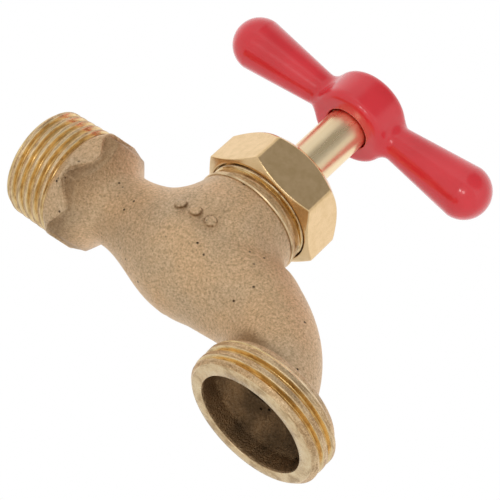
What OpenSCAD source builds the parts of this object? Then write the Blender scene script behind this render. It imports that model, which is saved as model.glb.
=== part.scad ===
// Hose bib: a bent-nose garden tap with a threaded inlet, a rising stem under
// a packing nut, a tee handle and a male hose outlet. Shown closed.
// Origin: centre of the inlet end face. +X runs into the body along the inlet
// axis, +Z runs up along the stem, and Y = 0 is the plane of symmetry.

/* [Inlet] */
// diameter over the crests of the inlet pipe thread
inlet_thread_d = 21.34; // [21.2:0.02:21.5]
// pitch of the inlet pipe thread
inlet_pitch = 1.814; // [1.7:0.002:1.9]
// length of the inlet thread, from the end face to the wrench collar
inlet_thread_length = 9.3; // [9:0.1:10]
// wrench collar, across its flats
collar_across_flats = 21; // [20.4:0.1:21.6]
// wrench collar, across its rounded corners
collar_across_corners = 23; // [22.6:0.1:23.4]
// outside diameter of the thinnest place behind the collar
waist_d = 14.2; // [13.8:0.1:15]
// bore of the inlet inside the thread
inlet_bore_d = 13; // [12:0.1:14]

/* [Body] */
// distance from the inlet face to the stem axis
stem_offset = 38; // [37.6:0.1:38.4]
// diameter of the round body under the neck
barrel_d = 22.2; // [21.8:0.1:23]
// height of the top of the cast barrel above the inlet axis
barrel_top = 12; // [11.6:0.1:12.4]
// diameter of the chamber around the seat
chamber_d = 16.4; // [15.6:0.1:16.6]
// diameter of the water hole through the seat
seat_hole_d = 7.8; // [7:0.1:8]
// height of the seat's sealing land above the inlet axis
seat_top = 1.5; // [1.3:0.1:1.7]
// diameter of the raised casting pips on the side of the body
pip_d = 1.6; // [1.2:0.1:2]

/* [Neck and packing nut] */
// diameter over the neck's outside thread
neck_thread_d = 20.9; // [20.8:0.02:21]
// height of the top of the neck above the inlet axis
neck_top = 19.2; // [19:0.1:19.4]
// packing nut, across its flats
nut_across_flats = 22.8; // [22.6:0.1:23.4]
// packing nut, across its corners
nut_across_corners = 26.2; // [25.8:0.1:26.8]
// turn of the packing nut about its axis, in degrees
nut_turn = 26.5; // [0:0.5:60]
// height of the nut's lower face above the inlet axis
nut_bottom = 15.1; // [15:0.1:15.3]
// height of the nut's upper face above the inlet axis
nut_top = 24.8; // [24.6:0.1:25.2]

/* [Outlet] */
// distance from the inlet face to the outlet axis
outlet_offset = 66; // [65.6:0.1:66.4]
// drop of the outlet end face below the inlet axis
outlet_drop = 20.8; // [20.6:0.1:21.2]
// diameter over the crests of the hose thread
hose_thread_d = 26.9; // [26.8:0.02:27]
// pitch of the hose thread
hose_pitch = 2.209; // [2.1:0.001:2.3]
// bore of the outlet
outlet_bore_d = 20.7; // [19.6:0.1:20.8]

/* [Stem and handle] */
// diameter of the plain stem
stem_d = 8.5; // [8.3:0.1:8.7]
// diameter over the stem's thread
stem_thread_d = 14; // [13.8:0.1:14.2]
// tip to tip length of the tee handle
handle_length = 59.6; // [56:0.1:64]
// diameter of the handle's hub
hub_d = 16.2; // [15.6:0.1:17]
// height of the underside of the hub above the inlet axis
hub_bottom = 41.1; // [40.6:0.1:42]
// height of the hub
hub_height = 8.7; // [8.5:0.1:9.5]
// diameter of the round end of each handle arm
knob_d = 10.6; // [10:0.1:11.4]
// smallest diameter of each handle arm, beside the hub
arm_neck_d = 7; // [6.4:0.1:7.6]
// turn of the handle about the stem, in degrees
handle_turn = 9; // [0:1:45]

/* [Hidden] */
$fn = 96;
eps = 0.02;
gap = 0.05;
brass = [0.72, 0.57, 0.38];
bright_brass = [0.86, 0.72, 0.46];
fibre = [0.22, 0.22, 0.21];
red = [0.77, 0.12, 0.16];

inlet_r = inlet_thread_d / 2;
inlet_turns = 4;
inlet_groove_depth = 1.25;
inlet_groove_half = 0.72;
inlet_first_groove = 1.9;
inlet_chamfer = 0.8;
inlet_bore_end = 11.5;
passage_r = 4.9;

collar_start = inlet_thread_length;
collar_end = 14.6;
waist_at = 21;

barrel_r = barrel_d / 2;
pip_count = 3;
pip_step = 3.4;
pip_reach = [-0.15, 0.3, 0.35];
chamber_r = chamber_d / 2;
chamber_floor = 0.5;
chamber_dome = 8.6;
under_r = 5.2;
under_floor = -8.2;
under_z = -5.3;
under_roof = -1.8;
seat_r = 5.5;
neck_r = neck_thread_d / 2;
neck_root = neck_r - 0.9;
stem_bore_r = stem_thread_d / 2 + gap;

bend_start = [stem_offset + 12.9, -1.8];
bend_centre = [stem_offset + 7.9, -20.8];
bend_radius = 19.6;
bend_from = 75;
bend_to = 16;
spout_r = 8.1;
run_out_r = 5.2;

hose_r = hose_thread_d / 2;
hose_groove_depth = 1.2;
hose_groove_half = 0.8;
outlet_r = outlet_bore_d / 2;
outlet_z = -outlet_drop;
hose_top = outlet_z + 6.1;

nut_thread_r = neck_r + gap;
nut_web = 1.8;
nut_cavity_r = 8.9;
nut_cavity_top = nut_top - nut_web;
packing_bottom = neck_top + 0.8;
packing_top = nut_cavity_top - 0.8;

stem_r = stem_d / 2;
stem_thread_r = stem_thread_d / 2;
washer_bottom = seat_top;
washer_height = 3;
washer_r = 5.3;
cup_r = 6.2;
cup_bottom = washer_bottom + 1.6;
cup_floor = washer_bottom + washer_height;
stem_thread_bottom = 7.4;
stem_thread_top = 13.9;
hub_top = hub_bottom + hub_height;
hub_mid = hub_bottom + 4.3;
hub_hole_r = stem_r + 0.25;
square = 6.2;
square_bottom = hub_bottom + 2.4;
square_top = hub_top - 1.6;
arm_reach = handle_length / 2 - knob_d / 2;

// turns a profile given as [radius, distance along the axis] about +X
module about_x() {
    rotate([0, 90, 0])
        rotate_extrude()
            children();
}

// a tapered bar between two points given as [x, z] in the plane Y = 0
module taper(from, to, r1, r2) {
    run = to - from;
    translate([from[0], 0, from[1]])
        rotate([0, atan2(run[0], run[1]), 0])
            rotate(50)
                cylinder(h = norm(run), r1 = r1, r2 = r2);
}

// the inlet thread as rings: each groove is a vee between two flat crests
module inlet_thread_profile() {
    polygon(concat(
        [[0, 0], [inlet_r - inlet_chamfer, 0], [inlet_r, inlet_chamfer]],
        [for (k = [0:inlet_turns - 1])
            for (p = [[0, -inlet_groove_half], [inlet_groove_depth, -0.12],
                      [inlet_groove_depth, 0.12], [0, inlet_groove_half]])
                [inlet_r - p[0], inlet_first_groove + k * inlet_pitch + p[1]]],
        [[inlet_r, collar_start - 0.5], [inlet_r - 0.9, collar_start - 0.1],
         [inlet_r - 0.9, collar_start + 1.5], [0, collar_start + 1.5]]));
}

// the wrench collar: a hexagon with two corners on the Z axis, rounded off
module collar() {
    intersection() {
        translate([collar_start, 0, 0])
            rotate([0, 90, 0])
                cylinder(h = 8, d = collar_across_flats / cos(30), $fn = 6);
        about_x()
            polygon([[0, collar_start],
                     [collar_across_corners / 2 - 0.5, collar_start],
                     [collar_across_corners / 2, collar_start + 0.5],
                     [collar_across_corners / 2, collar_end],
                     [collar_across_corners / 2 - 0.7, collar_end + 0.7],
                     [waist_d / 2 + 1.2, collar_end + 2.2],
                     [0, collar_end + 2.2]]);
    }
}

// a piece of a bent round bar; angles are counted from +X towards +Z
module bend(r, from, to) {
    translate([bend_centre[0], 0, bend_centre[1]])
        rotate([90, 0, 0])
            rotate([0, 0, to])
                rotate_extrude(angle = from - to)
                    translate([bend_radius, 0])
                        circle(r = r);
}

// the cast outside between the collar and the middle of the barrel
module shoulder() {
    about_x()
        polygon([[0, collar_start + 1],
                 [waist_d / 2 + 1.5, collar_start + 1],
                 [waist_d / 2 + 1.7, collar_end + 1.6],
                 [waist_d / 2 + 0.6, collar_end + 3.4],
                 [waist_d / 2 + 0.1, waist_at - 1.6],
                 [waist_d / 2, waist_at],
                 [waist_d / 2 + 0.35, waist_at + 2],
                 [waist_d / 2 + 1.1, waist_at + 4],
                 [waist_d / 2 + 2.3, waist_at + 7],
                 [waist_d / 2 + 3.2, waist_at + 10],
                 [waist_d / 2 + 3.8, waist_at + 13.5],
                 [barrel_r - 0.1, stem_offset],
                 [0, stem_offset]]);
}

// the round barrel with its bowl-shaped bottom
module barrel() {
    translate([stem_offset, 0, 0])
        rotate_extrude()
            polygon(concat([[0, -barrel_r], [2.5, -barrel_r]],
                           [for (a = [-75:7.5:0]) [barrel_r * cos(a), barrel_r * sin(a)]],
                           [[barrel_r, 7], [barrel_r - 0.15, 9],
                            [barrel_r - 0.35, 10.5], [barrel_r - 0.6, barrel_top],
                            [0, barrel_top]]));
}

// the spout: tapered bars and balls that follow the bend down to the outlet
module spout() {
    taper([stem_offset + 1, -0.1], bend_start, barrel_r - 0.25, spout_r + 0.4);
    translate([bend_start[0], 0, bend_start[1]])
        rotate([0, 90, 0])
            sphere(r = spout_r + 0.6);
    bend(spout_r, bend_from, bend_to);
    translate([outlet_offset, 0, hose_top])
        rotate_extrude()
            polygon([[0, -1], [hose_r - 1.2, -1],
                     [hose_r - 1.2, 0.2],
                     [hose_r - 2.4, 0.7],
                     [hose_r - 3.8, 1.6],
                     [0, 1.6]]);
}

// the hose thread as rings with flat crests
module hose_thread() {
    translate([outlet_offset, 0, outlet_z])
        rotate_extrude()
            polygon([[0, 0], [hose_r - 0.5, 0],
                     [hose_r, 0.5], [hose_r, 1.1],
                     [hose_r - hose_groove_depth, 1.1 + hose_groove_half - 0.15],
                     [hose_r - hose_groove_depth, 1.1 + hose_groove_half + 0.15],
                     [hose_r, 1.1 + 2 * hose_groove_half],
                     [hose_r, 1.1 + hose_pitch],
                     [hose_r - hose_groove_depth, 1.1 + hose_pitch + hose_groove_half - 0.15],
                     [hose_r - hose_groove_depth, 1.1 + hose_pitch + hose_groove_half + 0.15],
                     [hose_r, 1.1 + hose_pitch + 2 * hose_groove_half],
                     [hose_r, 1.1 + 2 * hose_pitch],
                     [hose_r - 0.5, hose_top - outlet_z],
                     [0, hose_top - outlet_z]]);
}

// the turned neck above the barrel, with its ring, relief and outside thread
module neck() {
    translate([stem_offset, 0, 0])
        rotate_extrude()
            polygon([[0, barrel_top - 1], [barrel_r - 0.5, barrel_top - 1],
                     [barrel_r - 0.3, barrel_top + 0.2],
                     [barrel_r - 0.5, barrel_top + 0.9],
                     [neck_root, barrel_top + 1.3],
                     [neck_root, barrel_top + 2.1],
                     [neck_r, barrel_top + 2.6],
                     [neck_r, neck_top - 0.5],
                     [neck_r - 0.5, neck_top],
                     [0, neck_top]]);
}

// a plain raised mark: a row of round pips on the side of the body
module side_pips() {
    for (k = [0:pip_count - 1])
        translate([stem_offset - 2 + pip_step * (k - 1), 0, 1.2])
            rotate([90, 0, 0])
                cylinder(h = barrel_r + pip_reach[k], d = pip_d, $fn = 24);
}

module water_way() {
    translate([-1, 0, 0])
        rotate([0, 90, 0])
            cylinder(h = inlet_bore_end + 1, r = inlet_bore_d / 2);
    about_x()
        polygon([[0, inlet_bore_end - eps],
                 [inlet_bore_d / 2, inlet_bore_end - eps],
                 [passage_r, inlet_bore_end + 3.5],
                 [0, inlet_bore_end + 3.5]]);
    taper([inlet_bore_end + 3, 0], [waist_at, 0], passage_r, passage_r);
    taper([waist_at - 2, 0.3], [waist_at + 8.6, under_z], 3.8, 3.8);
    taper([waist_at + 7.4, under_z], [stem_offset, under_z], 3.6, 3.6);
    translate([stem_offset, 0, under_floor])
        cylinder(h = under_roof - under_floor, r = under_r);
    translate([stem_offset, 0, under_roof - eps])
        cylinder(h = 6, d = seat_hole_d);
    difference() {
        translate([stem_offset, 0, 0])
            rotate_extrude()
                polygon([[0, chamber_floor], [chamber_r - 0.8, chamber_floor],
                         [chamber_r, chamber_floor + 0.8],
                         [chamber_r, chamber_dome],
                         [stem_bore_r, chamber_dome + 1.4],
                         [0, chamber_dome + 1.4]]);
        translate([stem_offset, 0, chamber_floor - 1])
            rotate_extrude()
                polygon([[0, 0], [seat_r + 0.9, 0], [seat_r + 0.6, 1],
                         [seat_r - 0.2, seat_top - chamber_floor + 1],
                         [0, seat_top - chamber_floor + 1]]);
    }
    translate([stem_offset, 0, chamber_dome])
        cylinder(h = neck_top, r = stem_bore_r);
    taper([stem_offset + 6, 4.6], [stem_offset + 13.4, -1.2], 4.7, 4.9);
    bend(run_out_r, bend_from + 2, bend_to - 6);
    translate([outlet_offset, 0, outlet_z])
        rotate_extrude()
            polygon([[0, -1], [outlet_r, -1], [outlet_r, 3.6],
                     [outlet_r - 0.9, 5.2], [outlet_r - 2.6, 6.6],
                     [run_out_r + 0.4, 7.6], [0, 8.4]]);
}

module valve_body() {
    color(brass)
        difference() {
            union() {
                about_x()
                    inlet_thread_profile();
                collar();
                shoulder();
                barrel();
                spout();
                hose_thread();
                neck();
                side_pips();
            }
            water_way();
        }
}

module packing_nut() {
    color(bright_brass)
        translate([stem_offset, 0, 0])
            difference() {
                intersection() {
                    rotate(nut_turn)
                        translate([0, 0, nut_bottom])
                            cylinder(h = nut_top - nut_bottom,
                                     d = nut_across_flats / cos(30), $fn = 6);
                    rotate_extrude()
                        polygon([[0, nut_bottom],
                                 [nut_across_flats / 2 - 0.4, nut_bottom],
                                 [nut_across_corners / 2, nut_bottom + 1.1],
                                 [nut_across_corners / 2, nut_top - 1.8],
                                 [nut_across_flats / 2 - 1.2, nut_top],
                                 [0, nut_top]]);
                }
                translate([0, 0, nut_bottom - 1])
                    cylinder(h = neck_top + 0.4 - nut_bottom + 1, r = nut_thread_r);
                translate([0, 0, nut_bottom])
                    cylinder(h = nut_cavity_top - nut_bottom, r = nut_cavity_r);
                translate([0, 0, nut_bottom])
                    cylinder(h = 20, r = stem_r + gap);
            }
}

module ring(low, high, inner, outer) {
    translate([stem_offset, 0, low])
        difference() {
            cylinder(h = high - low, r = outer);
            translate([0, 0, -1])
                cylinder(h = high - low + 2, r = inner);
        }
}

module gland_washer() {
    color(bright_brass)
        ring(packing_top, nut_cavity_top, stem_r + gap, nut_cavity_r - 0.3);
}

module packing_ring() {
    color(fibre)
        ring(packing_bottom, packing_top, stem_r + gap, nut_cavity_r - 0.3);
}

module packing_seat_washer() {
    color(bright_brass)
        ring(neck_top, packing_bottom, stem_r + gap, nut_cavity_r - 0.3);
}

module stem() {
    color(bright_brass)
        translate([stem_offset, 0, 0])
            difference() {
                union() {
                    rotate_extrude()
                        polygon([[0, cup_bottom], [cup_r, cup_bottom],
                                 [cup_r, cup_floor + 1], [5, stem_thread_bottom - 0.6],
                                 [stem_thread_r - 0.6, stem_thread_bottom - 0.6],
                                 [stem_thread_r, stem_thread_bottom],
                                 [stem_thread_r, stem_thread_top - 0.6],
                                 [stem_thread_r - 0.6, stem_thread_top],
                                 [stem_r, stem_thread_top],
                                 [stem_r, square_bottom],
                                 [0, square_bottom]]);
                    rotate(handle_turn)
                        translate([-square / 2, -square / 2, square_bottom - eps])
                            cube([square, square, square_top - square_bottom]);
                }
                translate([0, 0, cup_bottom - 1])
                    cylinder(h = cup_floor - cup_bottom + 1, r = washer_r + 0.15);
                translate([0, 0, cup_bottom - 1])
                    cylinder(h = cup_floor - cup_bottom + 5.4, r = 1.7);
                translate([0, 0, square_top - 7.4])
                    cylinder(h = 10, r = 1.7);
            }
}

module seat_washer() {
    color(fibre)
        translate([stem_offset, 0, washer_bottom])
            difference() {
                cylinder(h = washer_height - gap, r = washer_r);
                translate([0, 0, -1])
                    cylinder(h = 6, r = 2);
                translate([0, 0, -1])
                    cylinder(h = 1.6, r = 3.3);
            }
}

// a slotted screw standing head down on the axis, its thread left plain
module washer_screw() {
    color(bright_brass)
        translate([stem_offset, 0, washer_bottom])
            difference() {
                union() {
                    translate([0, 0, -0.9])
                        cylinder(h = 1.45, r = 3);
                    cylinder(h = washer_height + 3.9, r = 1.65);
                }
                translate([-4, -0.4, -1.2])
                    cube([8, 0.8, 1]);
            }
}

module handle_arm() {
    rotate_extrude()
        polygon(concat(
            [[0, 4], [arm_neck_d / 2 + 0.8, 4], [arm_neck_d / 2 + 0.8, hub_d / 2 - 0.5],
             [arm_neck_d / 2 + 0.4, hub_d / 2 + 0.2],
             [arm_neck_d / 2 + 0.1, hub_d / 2 + 0.9],
             [arm_neck_d / 2, hub_d / 2 + 1.8]],
            [for (a = [-10:10:90])
                [knob_d / 2 * cos(a), arm_reach + knob_d / 2 * sin(a)]]));
}

module tee_handle() {
    color(red)
        translate([stem_offset, 0, 0])
            rotate(handle_turn)
                difference() {
                    union() {
                        translate([0, 0, hub_bottom])
                            rotate_extrude()
                                polygon([[0, 0], [hub_d / 2 - 1.2, 0],
                                         [hub_d / 2 - 0.35, 0.3],
                                         [hub_d / 2, 1.1],
                                         [hub_d / 2, hub_height - 1.4],
                                         [hub_d / 2 - 0.4, hub_height - 0.4],
                                         [hub_d / 2 - 1.4, hub_height],
                                         [0, hub_height]]);
                        translate([0, 0, hub_mid])
                            rotate([0, 90, 0])
                                handle_arm();
                        translate([0, 0, hub_mid])
                            rotate([0, -90, 0])
                                handle_arm();
                    }
                    translate([0, 0, hub_bottom - 1])
                        cylinder(h = square_bottom - hub_bottom + 1, r = hub_hole_r);
                    translate([-square / 2 - 0.1, -square / 2 - 0.1, hub_bottom])
                        cube([square + 0.2, square + 0.2, hub_height + 1]);
                }
}

module handle_screw() {
    color(bright_brass)
        translate([stem_offset, 0, 0])
            difference() {
                union() {
                    translate([0, 0, square_top - 6.9])
                        cylinder(h = 8.6, r = 1.65);
                    rotate_extrude()
                        polygon([[0, hub_top], [4.6, hub_top], [4.6, hub_top + 0.5],
                                 [4, hub_top + 1.3], [2.6, hub_top + 1.9],
                                 [0, hub_top + 2.1]]);
                }
                translate([-5, -0.5, hub_top + 1])
                    cube([10, 1, 2]);
            }
}

valve_body();
packing_nut();
gland_washer();
packing_ring();
packing_seat_washer();
stem();
seat_washer();
washer_screw();
tee_handle();
handle_screw();
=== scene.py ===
import math

import bpy
import numpy as np
from mathutils import Matrix, Vector


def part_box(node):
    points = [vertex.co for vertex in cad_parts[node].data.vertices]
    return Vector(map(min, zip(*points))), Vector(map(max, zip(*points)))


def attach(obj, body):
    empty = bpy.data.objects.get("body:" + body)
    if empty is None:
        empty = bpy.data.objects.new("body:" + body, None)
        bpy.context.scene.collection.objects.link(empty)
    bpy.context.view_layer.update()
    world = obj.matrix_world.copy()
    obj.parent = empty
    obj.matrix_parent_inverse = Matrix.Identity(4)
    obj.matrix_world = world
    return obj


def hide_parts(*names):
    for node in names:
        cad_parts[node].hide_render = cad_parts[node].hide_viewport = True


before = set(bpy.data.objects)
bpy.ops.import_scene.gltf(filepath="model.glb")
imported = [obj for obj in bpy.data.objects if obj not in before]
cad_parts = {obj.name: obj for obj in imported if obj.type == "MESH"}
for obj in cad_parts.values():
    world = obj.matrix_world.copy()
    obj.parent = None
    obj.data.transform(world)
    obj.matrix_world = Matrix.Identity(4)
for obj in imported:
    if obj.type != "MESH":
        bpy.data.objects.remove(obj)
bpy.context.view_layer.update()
print("frame loaded:", len(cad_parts), "CAD nodes")

mm = 0.001  # shapes are worked out in millimetres and stored in metres

# the axes that the pieces share, in mm
stemX = 38.0
outletX = 66.0
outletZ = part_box("valve_body")[0][2] / mm
handleTurn = math.radians(9)


# ease: 0 to 1 along an S curve, 3tt - 2ttt
def ease(t):
    t = np.clip(t, 0, 1)
    return t * t * (3 - 2 * t)


# the lesser of two distances with a fillet about k wide where they meet: min - k h h / 4, h = 1 - |a - b| / k
def smoothMin(a, b, k):
    h = np.maximum(1 - np.abs(a - b) / k, 0)
    return np.minimum(a, b) - k * h * h / 4


# the greater of two distances, its outer corner rounded over k in the same way
def smoothMax(a, b, k):
    return -smoothMin(-a, -b, k)


# the distance outside a round bar from a to b, given as [x, z] in the plane y = 0: how far a point lies from
# the nearest place on the line, less the radius there, which runs evenly from ra to rb
def barField(x, y, z, a, b, ra, rb):
    runX, runZ = b[0] - a[0], b[1] - a[1]
    t = np.clip(((x - a[0]) * runX + (z - a[1]) * runZ) / (runX * runX + runZ * runZ), 0, 1)
    return np.sqrt((x - a[0] - t * runX) ** 2 + (z - a[1] - t * runZ) ** 2 + y * y) - ra - t * (rb - ra)


# the zero surface of field(x, y, z): every grid cell that it crosses gets one point, the mean of the
# crossings on the cell's edges, and every crossed edge gets one face between its four cells. Each point then
# steps along the field's slope, by value / slope^2 (no less than leastSquare), until it lies on the surface
def skinOf(field, low, high, step, settleSteps=3, leastSquare=0.2):
    axes = [np.arange(a, b + step, step) for a, b in zip(low, high)]
    value = field(*np.meshgrid(*axes, indexing="ij"))
    cells = np.array(value.shape) - 1
    corners, spots = [], []
    for axis in range(3):
        near = value[tuple(slice(0, -1) if k == axis else slice(None) for k in range(3))]
        far = value[tuple(slice(1, None) if k == axis else slice(None) for k in range(3))]
        at = np.argwhere((near < 0) != (far < 0))
        a, b = near[tuple(at.T)], far[tuple(at.T)]
        spot = at.astype(float)
        spot[:, axis] += a / (a - b)
        u, v = np.eye(3, dtype=int)[[(axis + 1) % 3, (axis + 2) % 3]]
        around = np.stack([at - u - v, at - v, at, at - u], 1)
        around[a > 0] = around[a > 0][:, ::-1]
        corners.append(around.reshape(-1, 3))
        spots.append(np.repeat(spot, 4, 0))
    corners, spots = np.concatenate(corners), np.concatenate(spots)
    index = np.unique(np.ravel_multi_index(corners.T, cells), return_inverse=True)[1]
    share = np.bincount(index)
    points = np.stack([np.bincount(index, weights=spots[:, k]) / share for k in range(3)], -1)
    points = np.array(low) + points * step
    for _ in range(settleSteps):
        slope = slopeOf(field, points)
        move = field(*points.T) / np.maximum((slope ** 2).sum(-1), leastSquare)
        points -= np.clip(move, -step / 2, step / 2)[:, None] * slope
    return points, index.reshape(-1, 4)


# the slope of a field at each point: half the change between a step forward and a step back, along each axis
def slopeOf(field, points, step=0.02):
    ahead = [field(*(points + d).T) - field(*(points - d).T) for d in np.eye(3) * step]
    return np.stack(ahead, -1) / (2 * step)


# faces of a grid that closes on itself along rows and columns alike
def ringFaces(rows, columns):
    r, c = np.meshgrid(np.arange(rows), np.arange(columns), indexing="ij")
    up, on = (r + 1) % rows, (c + 1) % columns
    corners = [r * columns + c, r * columns + on, up * columns + on, up * columns + c]
    return np.stack(corners, -1).reshape(-1, 4)


# faces turned outward: six times the signed volume, corner . (next x opposite) over the faces, is negative
# inside out
def turnOut(points, faces):
    a, b, c, d = (points[faces[:, k]] for k in range(4))
    volume = np.einsum("ij,ij->", a, np.cross(b, c)) + np.einsum("ij,ij->", a, np.cross(c, d))
    return faces if volume > 0 else faces[:, ::-1]


# an outline given as [radius, height] corners gets more points, evenly, so that no step is longer than reach
def walk(outline, reach):
    path = [np.array(outline[:1], float)]
    for a, b in zip(outline, outline[1:]):
        count = max(1, math.ceil(math.dist(a, b) / reach))
        path.append(np.array(a) + np.outer(np.arange(1, count + 1) / count, np.array(b) - np.array(a)))
    return np.concatenate(path)


# turns a grid of radii and heights about an axis: along x from the origin, or upward at centreX
def turned(radius, height, angle, centreX=None):
    across, over = radius * np.cos(angle), radius * np.sin(angle)
    if centreX is None:
        return np.stack([height + 0 * angle, across, over], -1)
    return np.stack([across + centreX, over, height + 0 * angle], -1)


# points in mm and rows of corner numbers become one smooth mesh that rides on a body and stands for a node
def addPiece(name, points, faces, body, node, material, sharp=None, attributes=None, normals=None):
    mesh = bpy.data.meshes.new(name)
    mesh.from_pydata((points * mm).tolist(), [], faces if isinstance(faces, list) else faces.tolist())
    mesh.polygons.foreach_set("use_smooth", np.ones(len(mesh.polygons), bool))
    for label, numbers in (attributes or {}).items():
        attribute = mesh.attributes.new(label, "FLOAT", "POINT")
        attribute.data.foreach_set("value", numbers.ravel().astype(np.float32))
    if sharp:
        mesh.set_sharp_from_angle(angle=math.radians(sharp))
    if normals is not None:
        mesh.normals_split_custom_set_from_vertices(normals.tolist())
    mesh.materials.append(material)
    mesh.validate()
    piece = bpy.data.objects.new(name, mesh)
    bpy.context.scene.collection.objects.link(piece)
    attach(piece, body)
    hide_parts(node)
    print("made", name, "with", len(faces), "faces")


# materials

# an sRGB hex colour made linear, channel by channel: c / 12.92 when dark, else ((c + 0.055) / 1.055) ^ 2.4
def linear(hexColour):
    channels = [int(hexColour[k:k + 2], 16) / 255 for k in (1, 3, 5)]
    return (*[c / 12.92 if c <= 0.04045 else ((c + 0.055) / 1.055) ** 2.4 for c in channels], 1.0)


# noise cycles per metre for a pattern whose marks are about so many millimetres across
def marks(size):
    return 1 / (size * mm)


# adds a node: plain settings by name, inputs as {socket: value or another node's output}, and a colour ramp's
# stops as {place: hex colour or grey level}
def addNode(tree, kind, inputs=None, stops=None, **settings):
    node = tree.nodes.new(kind)
    for field, value in settings.items():
        setattr(node, field, value)
    for socket, value in (inputs or {}).items():
        if isinstance(value, bpy.types.NodeSocket):
            tree.links.new(value, node.inputs[socket])
        else:
            node.inputs[socket].default_value = value
    if stops:
        band = node.color_ramp.elements
        while len(band) < len(stops):
            band.new(0.5)
        for element, (place, colour) in zip(band, sorted(stops.items())):
            element.position = place
            element.color = linear(colour) if isinstance(colour, str) else (colour, colour, colour, 1)
    return node


# a material with its main shader, its tree and the object's own coordinates
def startMaterial(name, **shader):
    material = bpy.data.materials.new(name)
    material.use_nodes = True
    tree = material.node_tree
    surface = tree.nodes["Principled BSDF"]
    for socket, value in shader.items():
        surface.inputs[socket.replace("_", " ")].default_value = value
    where = addNode(tree, "ShaderNodeTexCoord").outputs["Object"]
    return material, tree, surface, where


castLook = {
    "grainSize": 0.42, "grainDetail": 5.0, "grainRoughness": 0.75,
    "grainColours": {0.30: "#a88f70", 0.48: "#dcbe9a", 0.68: "#fadfbe"},
    "patchSize": 9, "patchTints": {0.35: "#f4f2ee", 0.65: "#fff6ea"},
    "insideShadeTints": {0.42: "#807a72", 0.6: "#beb6aa"},
    "pitSpacing": 2.2, "pitEdge": {0.07: 1.0, 0.13: 0.0}, "pittedSize": 5, "pitted": {0.50: 0.0, 0.54: 1.0},
    "pitColour": "#4a3828",
    "dirtAndShadeTint": "#b5a99b", "roughness": 0.4, "grainHeight": 0.3, "pitDepth": 0.15,
}


# Cast brass, sand-cast and tumbled: a dull tan metal whose fine sandy grain, drawn coarser than the real
# 0.2 mm to show, glitters where light falls, with scattered black pits and warmer patches; painted shade
# darkens its hollows, with some dirt there, the land behind the collar's steps and the water way's skin
def castBrass():
    look = castLook
    material, tree, surface, where = startMaterial("tumbledCastBrass", Metallic=1.0,
                                                   Roughness=look["roughness"])
    grain = addNode(tree, "ShaderNodeTexNoise",
                    {"Vector": where, "Scale": marks(look["grainSize"]), "Detail": look["grainDetail"],
                     "Roughness": look["grainRoughness"]})
    sandy = addNode(tree, "ShaderNodeValToRGB", {"Fac": grain.outputs["Fac"]}, look["grainColours"])
    patches = addNode(tree, "ShaderNodeTexNoise",
                      {"Vector": where, "Scale": marks(look["patchSize"]), "Detail": 2.0})
    tint = addNode(tree, "ShaderNodeValToRGB", {"Fac": patches.outputs["Fac"]}, look["patchTints"])
    warm = addNode(tree, "ShaderNodeMix", {0: 1.0, 6: sandy.outputs["Color"], 7: tint.outputs["Color"]},
                   data_type="RGBA", blend_type="MULTIPLY")
    # pits: cells whose centre is close, kept only where a slower noise is high
    cells = addNode(tree, "ShaderNodeTexVoronoi", {"Vector": where, "Scale": marks(look["pitSpacing"])})
    near = addNode(tree, "ShaderNodeValToRGB", {"Fac": cells.outputs["Distance"]}, look["pitEdge"])
    some = addNode(tree, "ShaderNodeTexNoise",
                   {"Vector": where, "Scale": marks(look["pittedSize"]), "Detail": 1.0})
    pitted = addNode(tree, "ShaderNodeValToRGB", {"Fac": some.outputs["Fac"]}, look["pitted"])
    pits = addNode(tree, "ShaderNodeMath", {0: near.outputs["Color"], 1: pitted.outputs["Color"]},
                   operation="MULTIPLY").outputs[0]
    speckled = addNode(tree, "ShaderNodeMix", {0: pits, 6: warm.outputs[2], 7: linear(look["pitColour"])},
                       data_type="RGBA")
    # painted shade: the water way's skin, deep inside the casting, is darkened by the inside tints
    inside = addNode(tree, "ShaderNodeAttribute", attribute_name="inside").outputs["Fac"]
    shade = addNode(tree, "ShaderNodeValToRGB", {"Fac": patches.outputs["Fac"]}, look["insideShadeTints"])
    darkened = addNode(tree, "ShaderNodeMix", {0: inside, 6: speckled.outputs[2], 7: shade.outputs["Color"]},
                       data_type="RGBA", blend_type="MULTIPLY")
    # painted shade: the hollow attribute darkens the colour behind the collar's steps, and in the casting's
    # hollows along with some dirt
    hollow = addNode(tree, "ShaderNodeAttribute", attribute_name="hollow").outputs["Fac"]
    dirtiedAndShaded = addNode(tree, "ShaderNodeMix", {0: hollow, 6: darkened.outputs[2], 7: linear(look["dirtAndShadeTint"])},
                    data_type="RGBA", blend_type="MULTIPLY")
    tree.links.new(dirtiedAndShaded.outputs[2], surface.inputs["Base Color"])
    fine = addNode(tree, "ShaderNodeBump", {"Height": grain.outputs["Fac"], "Strength": 0.9,
                                            "Distance": look["grainHeight"] * mm})
    deep = addNode(tree, "ShaderNodeBump",
                   {"Height": pits, "Strength": 1.0, "Distance": look["pitDepth"] * mm,
                    "Normal": fine.outputs["Normal"]}, invert=True)
    tree.links.new(deep.outputs["Normal"], surface.inputs["Normal"])
    return material


threadLook = {
    "grainSize": 0.3, "crestColours": {0.36: "#b08c64", 0.5: "#dcb88c", 0.66: "#f0d6ac"},
    "cutColours": {0.0: "#e6c080", 0.35: "#f2d298", 0.8: "#f6dcaa", 0.92: "#fdeac4"},
    "lineLength": 2.4, "lineShades": {0.36: "#b8a794", 0.52: "#f4efe8", 0.66: "#ffffff"}, "lineShare": 0.7,
    "lineHeight": 0.12, "edgeWander": 0.35, "scuffedFrom": 1.02, "scuffedFully": 1.14,
    "wearSize": 6, "wear": {0.3: 0.55, 0.6: 1.0}, "cutRoughness": 0.24, "scuffedRoughness": 0.5,
}


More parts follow.
